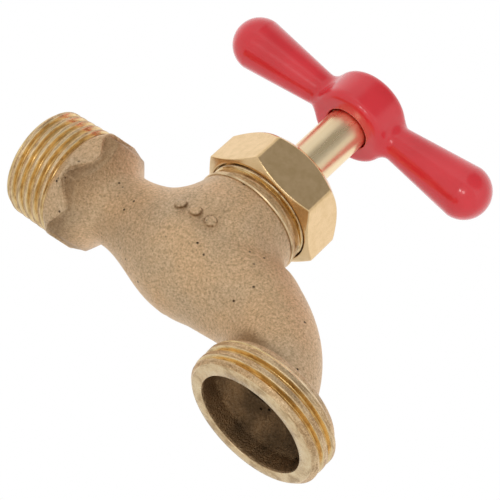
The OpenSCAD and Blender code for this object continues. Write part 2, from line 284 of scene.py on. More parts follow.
# Brass thread, cut on a lathe: bright gold down in the grooves, where each flank mirrors the next, and dull
# tan crests scuffed by other castings in the barrel. The crest attribute runs from 0 at a root to 1 on a
# crest, and faces turned flat have a value a little short of a crest's, so they are mostly clean
def cutThreadBrass(name, squeeze):
    look = threadLook
    material, tree, surface, where = startMaterial(name, Metallic=1.0)
    crest = addNode(tree, "ShaderNodeAttribute", attribute_name="crest").outputs["Fac"]
    grain = addNode(tree, "ShaderNodeTexNoise",
                    {"Vector": where, "Scale": marks(look["grainSize"]), "Detail": 3.0, "Roughness": 0.7})
    scuffed = addNode(tree, "ShaderNodeValToRGB", {"Fac": grain.outputs["Fac"]}, look["crestColours"])
    groove = addNode(tree, "ShaderNodeValToRGB", {"Fac": crest}, look["cutColours"])
    # the tool's lines run round the thread: noise squeezed along its axis, drawn 0.3 mm apart to show
    squeezed = addNode(tree, "ShaderNodeMapping", {"Vector": where, "Scale": squeeze})
    lines = addNode(tree, "ShaderNodeTexNoise",
                    {"Vector": squeezed.outputs["Vector"], "Scale": marks(look["lineLength"]), "Detail": 4.0,
                     "Roughness": 0.6})
    shade = addNode(tree, "ShaderNodeValToRGB", {"Fac": lines.outputs["Fac"]}, look["lineShades"])
    # a wandering edge between scuffed crest and clean flank
    edge = addNode(tree, "ShaderNodeMath", {0: grain.outputs["Fac"], 1: look["edgeWander"], 2: crest},
                   operation="MULTIPLY_ADD")
    top = addNode(tree, "ShaderNodeMapRange", {"Value": edge.outputs[0], "From Min": look["scuffedFrom"],
                                               "From Max": look["scuffedFully"]})
    patches = addNode(tree, "ShaderNodeTexNoise",
                      {"Vector": where, "Scale": marks(look["wearSize"]), "Detail": 2.0})
    worn = addNode(tree, "ShaderNodeValToRGB", {"Fac": patches.outputs["Fac"]}, look["wear"])
    amount = addNode(tree, "ShaderNodeMath", {0: top.outputs["Result"], 1: worn.outputs["Color"]},
                     operation="MULTIPLY").outputs[0]
    colour = addNode(tree, "ShaderNodeMix",
                     {0: amount, 6: groove.outputs["Color"], 7: scuffed.outputs["Color"]}, data_type="RGBA")
    lined = addNode(tree, "ShaderNodeMix",
                    {0: look["lineShare"], 6: colour.outputs[2], 7: shade.outputs["Color"]},
                    data_type="RGBA", blend_type="MULTIPLY")
    tree.links.new(lined.outputs[2], surface.inputs["Base Color"])
    rough = addNode(tree, "ShaderNodeMapRange", {"Value": amount, "To Min": look["cutRoughness"],
                                                 "To Max": look["scuffedRoughness"]})
    tree.links.new(rough.outputs["Result"], surface.inputs["Roughness"])
    bump = addNode(tree, "ShaderNodeBump", {"Height": lines.outputs["Fac"], "Strength": 0.6,
                                            "Distance": look["lineHeight"] * mm})
    tree.links.new(bump.outputs["Normal"], surface.inputs["Normal"])
    return material


nutLook = {"colours": {0.32: "#e2c08c", 0.6: "#efcd9c"}, "roughness": 0.2, "squeeze": (1.0, 1.0, 1.0)}
stemLook = {"colours": {0.32: "#f6dcae", 0.6: "#ffe9c0"}, "roughness": 0.3, "squeeze": (1.0, 1.0, 0.15)}
polishLook = {"cloudSize": 1.6, "lineSize": 0.5, "lineHeight": 0.02, "duller": 1.25, "shinier": 0.8}


# Brass bar, faced and polished: a warm yellow mirror gone slightly cloudy, with fine scratches and faint
# smudges that show on whichever flat reflects something dark
def polishedBrass(name, look):
    material, tree, surface, where = startMaterial(name, Metallic=1.0)
    squeezed = addNode(tree, "ShaderNodeMapping", {"Vector": where, "Scale": look["squeeze"]})
    clouds = addNode(tree, "ShaderNodeTexNoise", {"Vector": squeezed.outputs["Vector"],
                                                  "Scale": marks(polishLook["cloudSize"]), "Detail": 5.0,
                                                  "Roughness": 0.65})
    colour = addNode(tree, "ShaderNodeValToRGB", {"Fac": clouds.outputs["Fac"]}, look["colours"])
    tree.links.new(colour.outputs["Color"], surface.inputs["Base Color"])
    rough = addNode(tree, "ShaderNodeMapRange",
                    {"Value": clouds.outputs["Fac"], "From Min": 0.3, "From Max": 0.7,
                     "To Min": look["roughness"] * polishLook["shinier"],
                     "To Max": look["roughness"] * polishLook["duller"]})
    tree.links.new(rough.outputs["Result"], surface.inputs["Roughness"])
    # scratches, drawn coarser than the real 0.05 mm to show
    lines = addNode(tree, "ShaderNodeTexNoise", {"Vector": squeezed.outputs["Vector"],
                                                 "Scale": marks(polishLook["lineSize"]), "Detail": 3.0})
    bump = addNode(tree, "ShaderNodeBump", {"Height": lines.outputs["Fac"], "Strength": 0.22,
                                            "Distance": polishLook["lineHeight"] * mm})
    tree.links.new(bump.outputs["Normal"], surface.inputs["Normal"])
    return material


coatLook = {
    "poolSize": 8, "reds": {0.35: "#e0222e", 0.65: "#ec2c38"}, "roughness": 0.24, "rippleSize": 2.2,
    "rippleHeight": 0.08,
}


# Vinyl coating, dipped over the cast handle: a thick glossy red skin with soft ripples that break up
# its reflections, a shade deeper where it has run thick
def dippedCoating():
    look = coatLook
    material, tree, surface, where = startMaterial("dippedVinylCoating", Roughness=look["roughness"], IOR=1.5,
                                                   Coat_Weight=0.6, Coat_Roughness=0.05)
    pools = addNode(tree, "ShaderNodeTexNoise",
                    {"Vector": where, "Scale": marks(look["poolSize"]), "Detail": 2.0})
    colour = addNode(tree, "ShaderNodeValToRGB", {"Fac": pools.outputs["Fac"]}, look["reds"])
    tree.links.new(colour.outputs["Color"], surface.inputs["Base Color"])
    ripples = addNode(tree, "ShaderNodeTexNoise", {"Vector": where, "Scale": marks(look["rippleSize"]),
                                                   "Detail": 2.0})
    bump = addNode(tree, "ShaderNodeBump", {"Height": ripples.outputs["Fac"], "Strength": 0.35,
                                            "Distance": look["rippleHeight"] * mm})
    tree.links.new(bump.outputs["Normal"], surface.inputs["Normal"])
    return material


yarnLook = {
    "fibreSize": 2.4, "greys": {0.2: "#1b1b1d", 0.8: "#3d3d40"}, "fibreHeight": 0.08, "roughness": 0.6,
}


# Graphited yarn, pressed into a ring: near black with a faint grey sheen and a short fibrous grain
def graphiteYarn():
    look = yarnLook
    material, tree, surface, where = startMaterial("pressedGraphiteYarn", Roughness=look["roughness"])
    fibres = addNode(tree, "ShaderNodeTexWave", {"Vector": where, "Scale": marks(look["fibreSize"]),
                                                 "Distortion": 6.0, "Detail": 3.0})
    colour = addNode(tree, "ShaderNodeValToRGB", {"Fac": fibres.outputs["Fac"]}, look["greys"])
    tree.links.new(colour.outputs["Color"], surface.inputs["Base Color"])
    bump = addNode(tree, "ShaderNodeBump", {"Height": fibres.outputs["Fac"], "Strength": 0.5,
                                            "Distance": look["fibreHeight"] * mm})
    tree.links.new(bump.outputs["Normal"], surface.inputs["Normal"])
    return material


rubberLook = {
    "bloomSize": 1.5, "blacks": {0.35: "#18181a", 0.7: "#2b2a2a"}, "bloomHeight": 0.03, "roughness": 0.75,
}


# Nitrile rubber, moulded: matt black with a dusty bloom in patches
def mouldedRubber():
    look = rubberLook
    material, tree, surface, where = startMaterial("mouldedNitrileRubber", Roughness=look["roughness"])
    bloom = addNode(tree, "ShaderNodeTexNoise",
                    {"Vector": where, "Scale": marks(look["bloomSize"]), "Detail": 4.0})
    colour = addNode(tree, "ShaderNodeValToRGB", {"Fac": bloom.outputs["Fac"]}, look["blacks"])
    tree.links.new(colour.outputs["Color"], surface.inputs["Base Color"])
    bump = addNode(tree, "ShaderNodeBump", {"Height": bloom.outputs["Fac"], "Strength": 0.3,
                                            "Distance": look["bloomHeight"] * mm})
    tree.links.new(bump.outputs["Normal"], surface.inputs["Normal"])
    return material


castMaterial = castBrass()
inletThreadMaterial = cutThreadBrass("latheCutInletBrass", (8.0, 1.0, 1.0))
uprightThreadMaterial = cutThreadBrass("latheCutUprightBrass", (1.0, 1.0, 8.0))
nutMaterial = polishedBrass("polishedBarBrass", nutLook)
stemMaterial = polishedBrass("turnedBarBrass", stemLook)
coatMaterial = dippedCoating()
print("materials ready")

casting = {
    "step": 0.42, "boxLow": (-0.5, -13.6, outletZ - 0.4), "boxHigh": (80.0, 13.6, 13.2),
    "collarStart": 9.3, "collarFront": 10.3, "frontSlope": (0.6, 0.8),
    "collarEnd": 15.1, "collarBack": 10.4, "backSlope": (0.75, 0.66),
    "collarFlat": 10.7, "collarCorner": 11.5, "collarEdge": 0.2, "collarFillet": 0.5,
    "stepX": 14.1, "stepBulge": 2.9, "stepDepth": 0.8, "stepRun": 0.4,
    "waist": 7.1, "waistX": 19.5, "flare": 2.5, "flareRun": 4.3, "flareEnd": 5,
    "shoulderRun": 16.5, "swell": 4.0,
    "barrel": 11.1, "barrelTop": 12.0, "bowlFrom": 6, "bowlRun": 6, "bowlFall": 0.6, "topEdge": 0.5,
    "filletLeast": 0.5, "filletMore": 2.8, "filletFrom": 0.5, "filletRun": 6,
    "bendStart": (50.9, -1.8), "bendX": 45.9, "bendZ": -20.8, "bendRadius": 19.6,
    "bendHigh": 75, "bendLow": 14, "tube": 8.1, "tubeSwell": 0.5, "swellFrom": 50, "spoutFillet": 0.4,
    "flange": 12.3, "flangeLow": 6, "flangeHigh": 7.5, "flangeRound": 1.4, "flangeEdge": 0.3,
    "flangeFillet": 2.4,
    "outletSleeve": 11.9, "outletSleeveLow": 0.2, "outletSleeveHigh": 6.8,
    "inletSleeve": 9.0, "inletSleeveStart": 0.8, "inletSleeveEnd": 12,
    "pips": (32.6, 36.0, 39.4), "pipZ": 1.2, "pipRadius": 1.1, "pipRise": 0.6, "pipEdge": 0.3,
    "pipFillet": 0.25, "pipSideY": -5,
    "mouthEdge": 0.25, "insideReach": 0.3, "insideDepth": 0.4,
    # where the casting is darkened: painted shade behind the collar's steps, and painted shade with some dirt
    # in its hollows
    "hollowReach": 3.5, "hollowFrom": 0.86, "hollowFull": 0.5, "tooSteep": 1.3,
    "stepShadeShare": 0.7, "stepShadeRun": 0.6, "stepShadeEnd": 17.5, "stepShadeFade": 4,
}


# radius of the casting round the inlet axis: a parabola falls from the collar to the waist, and an S curve
# swells from there to the barrel
def shoulderRadius(x):
    s = casting
    flare = s["flare"] * (np.clip(s["waistX"] - x, 0, s["flareEnd"]) / s["flareRun"]) ** 2
    return s["waist"] + flare + s["swell"] * ease((x - s["waistX"]) / s["shoulderRun"])


# the arc of the spout: distance from the nearest place between two angles, in degrees, on the bend's circle
def bendField(x, y, z, fromAngle, toAngle, radius):
    s = casting
    angle = np.arctan2(z - s["bendZ"], x - s["bendX"])
    angle = np.clip(angle, math.radians(toAngle), math.radians(fromAngle))
    px = s["bendX"] + s["bendRadius"] * np.cos(angle)
    pz = s["bendZ"] + s["bendRadius"] * np.sin(angle)
    return np.sqrt((x - px) ** 2 + (z - pz) ** 2 + y * y) - radius(np.degrees(angle))


# where each flat of the collar drops, along x: a curve that bulges to the back midway between two corners
def stepPlace(y, z):
    return casting["stepX"] - casting["stepBulge"] * (1 - np.cos(6 * np.arctan2(z, y))) / 2


# the collar: the greatest of three pairs of flats, the rounded corners' cylinder, and a cone at each end
def collarField(x, y, z):
    s = casting
    inletR = np.hypot(y, z)
    flats = [np.abs(y * math.cos(a) + z * math.sin(a)) for a in np.radians([0, 60, 120])]
    hexagon = smoothMax(smoothMax(flats[0], flats[1], s["collarEdge"]), flats[2], s["collarEdge"])
    hexagon = hexagon - s["collarFlat"] + s["stepDepth"] * ease((x - stepPlace(y, z)) / s["stepRun"])
    collar = smoothMax(hexagon, inletR - s["collarCorner"], s["collarEdge"])
    along, outward = s["frontSlope"]
    front = (s["collarStart"] - x) * along + (inletR - s["collarFront"]) * outward
    along, outward = s["backSlope"]
    back = (x - s["collarEnd"]) * along + (inletR - s["collarBack"]) * outward
    collar = smoothMax(smoothMax(collar, front, s["collarEdge"]), back, s["collarEdge"])
    return np.maximum(collar, s["collarStart"] - x)


# the spout: a tapered bar out of the barrel, the arc, and a flange above the hose thread
def withSpout(body, fillet, x, y, z):
    s = casting
    outletR = np.hypot(x - outletX, y)
    start = barField(x, y, z, (stemX, 0), s["bendStart"], s["barrel"] - 0.1, s["tube"] + s["tubeSwell"])
    span = s["bendHigh"] - s["swellFrom"]
    bend = bendField(x, y, z, s["bendHigh"], s["bendLow"],
                     lambda a: s["tube"] + s["tubeSwell"] * np.clip((a - s["swellFrom"]) / span, 0, 1) ** 2)
    body = smoothMin(body, smoothMin(start, bend, s["spoutFillet"]), fillet)
    height = z - outletZ
    flange = smoothMax(outletR - s["flange"], height - s["flangeHigh"], s["flangeRound"])
    flange = smoothMax(flange, s["flangeLow"] - height, s["flangeEdge"])
    return smoothMin(body, flange, s["flangeFillet"])


# outside of the casting: collar, shoulder, barrel and spout joined with fillets that are wide above the
# inlet axis, where the shapes meet in a corner, and thin below it, where they run into each other, and a
# sleeve under each outside thread
def outerField(x, y, z):
    s = casting
    inletR = np.hypot(y, z)
    stemR = np.hypot(x - stemX, y)
    height = z - outletZ
    shoulder = np.maximum(np.maximum(inletR - shoulderRadius(x), x - stemX + 1), s["collarStart"] + 1 - x)
    body = smoothMin(shoulder, collarField(x, y, z), s["collarFillet"])
    fall = s["bowlFall"] * np.clip((z - s["bowlFrom"]) / s["bowlRun"], 0, 2) ** 2
    bowl = np.sqrt(stemR ** 2 + np.minimum(z, 0) ** 2) - s["barrel"] + fall
    barrel = smoothMax(bowl, z - s["barrelTop"], s["topEdge"])
    fillet = s["filletLeast"] + s["filletMore"] * ease((z - s["filletFrom"]) / s["filletRun"])
    body = withSpout(smoothMin(body, barrel, fillet), fillet, x, y, z)
    outletSleeve = np.maximum(np.hypot(x - outletX, y) - s["outletSleeve"], height - s["outletSleeveHigh"])
    body = np.minimum(body, np.maximum(outletSleeve, s["outletSleeveLow"] - height))
    inletSleeve = np.maximum(inletR - s["inletSleeve"], s["inletSleeveStart"] - x)
    body = np.minimum(body, np.maximum(inletSleeve, x - s["inletSleeveEnd"]))
    plain = body
    for pipX in s["pips"]:
        pip = np.hypot(x - pipX, z - s["pipZ"]) - s["pipRadius"]
        pip = smoothMax(pip, plain - s["pipRise"], s["pipEdge"])
        body = smoothMin(body, np.maximum(pip, y - s["pipSideY"]), s["pipFillet"])
    return body


waterWay = {
    "bore": 6.5, "boreEnd": 21, "coneFrom": 11.5, "coneRun": 3.5, "coneFall": 1.6,
    "underStart": (20, -0.2), "underEnd": (29.6, -5.3), "under": 3.8,
    "levelStart": (29.4, -5.3), "levelEnd": (stemX, -5.3), "level": 3.6,
    "pocket": 5.2, "pocketZ": -5, "pocketHalf": 3.2, "seatHole": 3.9, "seatHoleHalf": 3,
    "chamber": 8.2, "chamberLow": 0.5, "chamberHigh": 13,
    "necking": 1.1, "neckingFrom": 8.6, "neckingRun": 1.4,
    "seat": 6.1, "seatTop": 1.5, "seatFall": 0.6, "neck": 7.3, "neckLow": 8,
    "downStart": (44, 4.6), "downEnd": (51.4, -1.2), "down": (4.7, 4.9),
    "bendHigh": 77, "bendLow": 10, "bend": 5.2,
    "domeHeights": (-9, 3.6, 4.6, 5.6, 6.6, 7.6, 8.4), "domeRadii": (10.35, 10.35, 9.9, 9.1, 7.8, 5.6, 0),
    "domeFillet": 1.2,
}


# the water way: the inlet bore and its cone, two drilled ways under the seat, the chamber over it with the
# seat standing up in it, the bore of the neck, and the bent way down the spout to the wide domed outlet
def waterField(x, y, z):
    w = waterWay
    inletR = np.hypot(y, z)
    stemR = np.hypot(x - stemX, y)
    cone = w["coneFall"] * np.clip((x - w["coneFrom"]) / w["coneRun"], 0, 1)
    bore = np.maximum(inletR - w["bore"] + cone, x - w["boreEnd"])
    under = barField(x, y, z, w["underStart"], w["underEnd"], w["under"], w["under"])
    level = barField(x, y, z, w["levelStart"], w["levelEnd"], w["level"], w["level"])
    pocket = np.maximum(stemR - w["pocket"], np.abs(z - w["pocketZ"]) - w["pocketHalf"])
    seatHole = np.maximum(stemR - w["seatHole"], np.abs(z) - w["seatHoleHalf"])
    necking = w["necking"] * np.clip((z - w["neckingFrom"]) / w["neckingRun"], 0, 1)
    chamber = np.maximum(stemR - w["chamber"] + necking, w["chamberLow"] - z)
    seat = np.maximum(stemR - w["seat"] + w["seatFall"] * (z - w["chamberLow"]), z - w["seatTop"])
    chamber = np.maximum(np.maximum(chamber, z - w["chamberHigh"]), -seat)
    neck = np.maximum(stemR - w["neck"], w["neckLow"] - z)
    down = barField(x, y, z, w["downStart"], w["downEnd"], *w["down"])
    bend = bendField(x, y, z, w["bendHigh"], w["bendLow"], lambda a: w["bend"])
    height = z - outletZ
    dome = np.hypot(x - outletX, y) - np.interp(height, w["domeHeights"], w["domeRadii"])
    dome = np.maximum(dome, height - w["domeHeights"][-1])
    ways = [bore, under, level, pocket, seatHole, chamber, neck, down]
    return np.minimum(np.minimum.reduce(ways), smoothMin(bend, dome, w["domeFillet"]))


# the casting is its outside less the water way
def castingField(x, y, z):
    return smoothMax(outerField(x, y, z), -waterField(x, y, z), casting["mouthEdge"])


# the casting's mesh, with two attributes for its material: inside, where the skin is the water way's and lies
# deep and gets painted shade, and hollow, for painted shade with some dirt. The shade is painted behind the
# collar's steps, and where a hollow closes over the skin: there the outside's distance at a step straight out
# from the skin falls short of the step's length
def buildCasting():
    s = casting
    points, faces = skinOf(castingField, s["boxLow"], s["boxHigh"], s["step"])
    inside = np.abs(waterField(*points.T)) < s["insideReach"]
    inside &= outerField(*points.T) < -s["insideDepth"]
    slope = slopeOf(castingField, points)
    steepness = np.linalg.norm(slope, axis=1)
    normals = slope / steepness[:, None]
    ahead = outerField(*(points + normals * s["hollowReach"]).T) / s["hollowReach"]
    hollow = ease((s["hollowFrom"] - ahead) / s["hollowFull"]) * (steepness < s["tooSteep"])
    x = points[:, 0]
    # painted shade on the land behind each step of the collar, joined to the painted shade and dirt of the
    # hollows
    shadeBehindStep = s["stepShadeShare"] * ease((x - stepPlace(*points.T[1:])) / s["stepShadeRun"])
    dirtAndShade = np.maximum(hollow, shadeBehindStep * ease((s["stepShadeEnd"] - x) / s["stepShadeFade"])) * ~inside
    addPiece("bodyCasting", points, faces, "faucet_body", "valve_body", castMaterial,
             attributes={"inside": inside.astype(float), "hollow": dirtAndShade}, normals=normals)


# shape is the share of a pitch that is crest and that is root; the fades say where along the ring the thread
# begins and over how far, and where it ends; faced says below and above which heights the ring is turned flat
inletThread = {
    "pitch": 1.814, "depth": 0.85, "shape": (0.14, 0.1), "fadeIn": (-0.1, 0.8), "fadeOut": (10.0, 1.2),
    "faced": (0.05, 20), "end": 9.5, "crestSmall": 10.45, "crestLarge": 10.67, "tip": 9.9, "tipSlope": 1.1,
    "lip": 6.55, "lipDepth": 0.9, "lipChamfer": (0.35, 0.3), "backBore": 8.95, "rise": 0.1, "columns": 360,
}
hoseThread = {
    "pitch": 2.209, "depth": 0.9, "shape": (0.36, 0.12), "fadeIn": (0.7, 1.0), "fadeOut": (5.9, 0.7),
    "faced": (0.25, 6.1), "height": 6.2, "crest": 13.43, "rim": 12.3, "rimSlope": 1.1, "rimBend": 0.8,
    "shoulder": 12.6, "shoulderSlope": 1.3,
    "lip": 10.35, "lipDepth": 0.3, "lipChamfer": (0.06, 0.06), "backBore": 11.85, "rise": 0.1, "columns": 420,
}
neckThread = {
    "pitch": 1.4, "depth": 0.8, "shape": (0.25, 0.1), "fadeIn": (14.1, 0.6), "fadeOut": (22.0, 1.0),
    "faced": (12.1, 30), "bottom": 11.85, "top": 19.2,
    "heights": (11.85, 12.1, 12.8, 13.2, 13.3, 14.1, 14.3, 18.7, 19.2),
    "radii": (10.6, 10.8, 10.6, 9.7, 9.55, 9.55, 10.42, 10.42, 9.9),
    "bore": 7.25, "boreChamfer": 0.3, "rise": 0.1, "columns": 320,
}
backReach = 0.8  # mm between points down the inside of a ring
facedCrest = 0.9  # the crest attribute on faces turned flat


# how far a screw thread is cut in, from 0 on a crest to 1 at a root: turns counted along the axis less turns
# about it give the phase, and its distance from the nearest crest is clipped between crest and root
def threadCut(along, angle, pitch, crestShare, rootShare):
    phase = (along / pitch - angle / (2 * np.pi)) % 1
    fromCrest = 1 - np.abs(phase - 0.5) * 2
    return ease((fromCrest - crestShare) / (1 - crestShare - rootShare))


# a closed ring about the inlet axis, or about an upright one at centreX: the outline's outer stretch comes
# first and has the thread cut into it, and base lifts the outline's heights into place
def threadRing(name, outer, back, settings, centreX=None, base=0.0):
    outline = np.concatenate([outer, back])[:, None, :]
    angle = np.arange(settings["columns"])[None, :] / settings["columns"] * 2 * np.pi
    height = outline[..., 1] + 0 * angle
    fade = ease((height - settings["fadeIn"][0]) / settings["fadeIn"][1])
    fade = fade * ease((settings["fadeOut"][0] - height) / settings["fadeOut"][1])
    cut = threadCut(height + base, angle, settings["pitch"], *settings["shape"]) * fade
    cut[len(outer):] = 0
    radius = outline[..., 0] - settings["depth"] * cut
    points = turned(radius, height + base, angle, centreX).reshape(-1, 3)
    faces = turnOut(points, ringFaces(*cut.shape))
    below, above = settings["faced"]
    crest = np.where((height < below) | (height > above), facedCrest, 1 - cut)
    material = inletThreadMaterial if centreX is None else uprightThreadMaterial
    addPiece(name, points, faces, "faucet_body", "valve_body", material, sharp=50,
             attributes={"crest": crest})


# outer stretch of a ring's outline: [radius(height), height] at even steps
def outerStretch(radius, low, high, rise):
    height = np.linspace(low, high, round((high - low) / rise) + 1)
    return np.stack([radius(height), height], -1)


# inside of a ring's outline, from its far end back to the mouth, where it covers the casting's end as a lip
def lippedBack(settings, end):
    bore, lip, depth = settings["backBore"], settings["lip"], settings["lipDepth"]
    wide, deep = settings["lipChamfer"]
    return walk([[bore, end], [bore, depth], [lip, depth], [lip, deep], [lip + wide, 0.0]], backReach)


# the inlet's crests lie on a cone, which a steeper cone cuts at the mouth
def buildInletThread():
    t = inletThread
    grow = (t["crestLarge"] - t["crestSmall"]) / t["end"]
    outer = outerStretch(lambda x: np.minimum(t["crestSmall"] + grow * x, t["tip"] + t["tipSlope"] * x),
                         0, t["end"], t["rise"])
    threadRing("inletThread", outer, lippedBack(t, t["end"]), t)


# the outlet's crests lie on a cylinder, rounded to the rim by a power curve and cut by a cone at the top
def buildHoseThread():
    t = hoseThread
    top = t["height"]

    def radius(h):
        rounded = np.minimum(t["rim"] + t["rimSlope"] * h ** t["rimBend"], t["crest"])
        return np.minimum(rounded, t["shoulder"] + t["shoulderSlope"] * (top - h))

    threadRing("hoseThread", outerStretch(radius, 0, top, t["rise"]), lippedBack(t, top), t, outletX, outletZ)


# the neck: a bead, a waist and the thread for the nut, in straight stretches
def buildNeckThread():
    t = neckThread
    outer = outerStretch(lambda z: np.interp(z, t["heights"], t["radii"]), t["bottom"], t["top"], t["rise"])
    chamfer = t["boreChamfer"]
    back = walk([[t["bore"] + chamfer, t["top"]], [t["bore"], t["top"] - chamfer], [t["bore"], t["bottom"]]],
                backReach)
    threadRing("neckThread", outer, back, t, stemX)


buildCasting()
buildInletThread()
buildHoseThread()
buildNeckThread()

nut = {
    "flat": 11.4, "corner": 13.1, "turn": math.radians(26.5), "bottom": 15.1, "top": 24.8, "rows": 98,
    "sharpness": 70, "edge": 0.25, "lowChamfer": 1.1, "highChamfer": 2.4, "lowRadius": 11.0,
    "highRadius": 10.2, "face": 9.6, "threadBore": 10.52, "mouthChamfer": (0.25, 0.4), "threadTop": 19.6,
    "cavity": 8.9, "web": 23.05, "hole": 4.42, "holeChamfer": 0.3, "backReach": 0.7, "columns": 288,
}


# radius of the nut: the flats of a hexagon, flat / cos(angle from the nearest flat), softened at the corners
# by a high power sum, and cut down by a cone at each end
def nutRadius(angle, z):
    n = nut
    facing = np.stack([np.maximum(np.cos(angle - n["turn"] - (k + 0.5) * math.pi / 3), 0) for k in range(6)])
    hexagon = n["flat"] / ((facing ** n["sharpness"]).sum(0)) ** (1 / n["sharpness"])
    low = n["lowRadius"] + (n["corner"] - n["lowRadius"]) * (z - n["bottom"]) / n["lowChamfer"]
    high = n["highRadius"] + (n["corner"] - n["highRadius"]) * (n["top"] - z) / n["highChamfer"]
    return smoothMin(smoothMin(hexagon, low, n["edge"]), high, n["edge"])


# the nut: its outside, rows of nutRadius, closed by the turned outline of face, hole, cavity and thread bore
def buildNut():
    n = nut
    height = np.linspace(n["bottom"], n["top"], n["rows"])
    angle = np.arange(n["columns"])[None, :] / n["columns"] * 2 * np.pi
    outer = nutRadius(angle, height[:, None])
    chamfer = n["holeChamfer"]
    wide, deep = n["mouthChamfer"]
    back = walk([[n["face"], n["top"]], [n["hole"] + chamfer, n["top"]], [n["hole"], n["top"] - chamfer],
                 [n["hole"], n["web"]], [n["cavity"], n["web"]], [n["cavity"], n["threadTop"]],
                 [n["threadBore"], n["threadTop"]], [n["threadBore"], n["bottom"] + deep],
                 [n["threadBore"] + wide, n["bottom"]]], n["backReach"])
    radius = np.concatenate([outer, back[:, :1] + 0 * angle])
    along = np.concatenate([height, back[:, 1]])[:, None]
    points = turned(radius, along, angle, stemX).reshape(-1, 3)
    faces = turnOut(points, ringFaces(*radius.shape))
    addPiece("packingNut", points, faces, "faucet_body", "packing_nut", nutMaterial, sharp=38)


buildNut()

# each [radius, height] outline starts where the one before it ends
stem = {
    "cup": [[1.5, 4.5], [5.4, 4.5], [5.45, 3.1], [6.2, 3.1], [6.2, 5.5], [5.0, 6.8], [6.4, 6.8]],
    "thread": [[7.0, 7.4], [7.0, 13.3], [6.4, 13.9]],
    "shank": [[4.4, 13.9], [4.25, 14.1], [4.25, 43.5]],
    "tip": [[4.15, 43.6], [4.15, 47.9], [3.9, 48.2], [1.0, 48.2]],
    "reach": 0.2, "threadFrom": 6.9, "threadTo": 13.85, "threadCore": 6.3, "lead": 2.0, "shape": (0.35, 0.1),
    "depth": 0.8, "square": 3.1, "squareFrom": 43.55, "squareLeast": 2, "columns": 192,
}


# radius of a square: half width / max(|cos|, |sin|); the round tip cuts its corners
def squareRadius(angle):
    return stem["square"] / np.maximum(np.abs(np.cos(angle)), np.abs(np.sin(angle)))


# the stem: one outline turned about its axis from the cup's floor to the top, with its thread cut in and its
# upper end squared, and a point on the axis to close each end
def buildStem():
    s = stem
    outline = walk(s["cup"] + s["thread"] + s["shank"] + s["tip"], s["reach"])
    angle = np.arange(s["columns"])[None, :] / s["columns"] * 2 * np.pi
    radius, along = outline[:, :1] + 0 * angle, outline[:, 1:] + 0 * angle
    threaded = (radius > s["threadCore"]) & (along > s["threadFrom"]) & (along < s["threadTo"])
    cut = threadCut(along, angle, s["lead"], *s["shape"])
    radius = np.where(threaded, radius - s["depth"] * cut, radius)
    squared = (along > s["squareFrom"]) & (radius > s["squareLeast"])
    radius = np.where(squared, np.minimum(radius, squareRadius(angle - handleTurn)), radius)
    ring = turned(radius, along, angle, stemX).reshape(-1, 3)
    rows, columns = radius.shape
    sides = ringFaces(rows, columns)[:(rows - 1) * columns]
    ends = np.array([[stemX, 0, outline[0, 1]], [stemX, 0, outline[-1, 1]]])
    points = np.concatenate([ring, ends])
    low = np.arange(columns)
    high = low + (rows - 1) * columns
    caps = [np.stack([row, np.roll(row, -1), np.full(columns, pole), np.full(columns, pole)], -1)
            for row, pole in ((low[::-1], len(ring)), (high, len(ring) + 1))]
    faces = turnOut(points, np.concatenate([sides, *caps]))
    # the fans at the two ends name their pole twice, and keep it once
    corners = [list(dict.fromkeys(face)) for face in faces.tolist()]
    addPiece("stemTurned", points, corners, "stem_and_handle", "stem", stemMaterial, sharp=35)


buildStem()

handle = {
    "step": 0.34, "margin": 0.6, "width": 8.8,
    "hubRadius": 8.1, "hubLow": 41.1, "hubHigh": 49.8, "hubEdge": 1.9,
    "armZ": 45.4, "armStart": 6.0, "armRoot": 3.02, "knobAt": 24.5, "knob": 5.3, "fillet": 1.7,
    "hole": 4.5, "holeTop": 43.5, "square": 3.2, "holeEdge": 0.4,
}


# the tee handle in its own axes, x along the arms: a round-edged hub joined by fillets to two bars that grow
# to a ball at each end, less the stem's round hole and the square hole above it
def handleField(x, y, z):
    h = handle
    stemR = np.hypot(x, y)
    middle, half = (h["hubLow"] + h["hubHigh"]) / 2, (h["hubHigh"] - h["hubLow"]) / 2
    hub = smoothMax(stemR - h["hubRadius"], np.abs(z - middle) - half, h["hubEdge"])
    root, end = (h["armStart"], h["armZ"]), (h["knobAt"], h["armZ"])
    arm = barField(np.abs(x), y, z, root, end, h["armRoot"], h["knob"])
    solid = smoothMin(hub, arm, h["fillet"])
    hole = np.maximum(stemR - h["hole"], z - h["holeTop"])
    square = np.maximum(np.abs(x), np.abs(y)) - h["square"]
    return smoothMax(solid, -np.minimum(hole, square), h["holeEdge"])


def buildHandle():
    h = handle
    reach = h["knobAt"] + h["knob"] + h["margin"]
    rise = h["knob"] + h["margin"]
    low, high = (-reach, -h["width"], h["armZ"] - rise), (reach, h["width"], h["armZ"] + rise)
    points, faces = skinOf(handleField, low, high, h["step"])
    normals = slopeOf(handleField, points)
    normals /= np.linalg.norm(normals, axis=1)[:, None]
    turn = np.array(Matrix.Rotation(handleTurn, 3, "Z"))
    points = points @ turn.T + np.array([stemX, 0, 0])
    addPiece("teeHandle", points, faces, "stem_and_handle", "tee_handle", coatMaterial,
             normals=normals @ turn.T)


buildHandle()

handleScrew = {
    "step": 0.16, "boxLow": (stemX - 5.2, -5.2, 41.0), "boxHigh": (stemX + 5.2, 5.2, 52.4),
    "head": 4.6, "seat": 49.8, "seatEdge": 0.1, "height": 2.1, "dome": 7.5, "rimEdge": 0.5,
    "slot": 0.5, "slotFloor": 50.8, "slotEdge": 0.15, "shank": 1.65, "tip": 41.4, "overlap": 0.2,
}


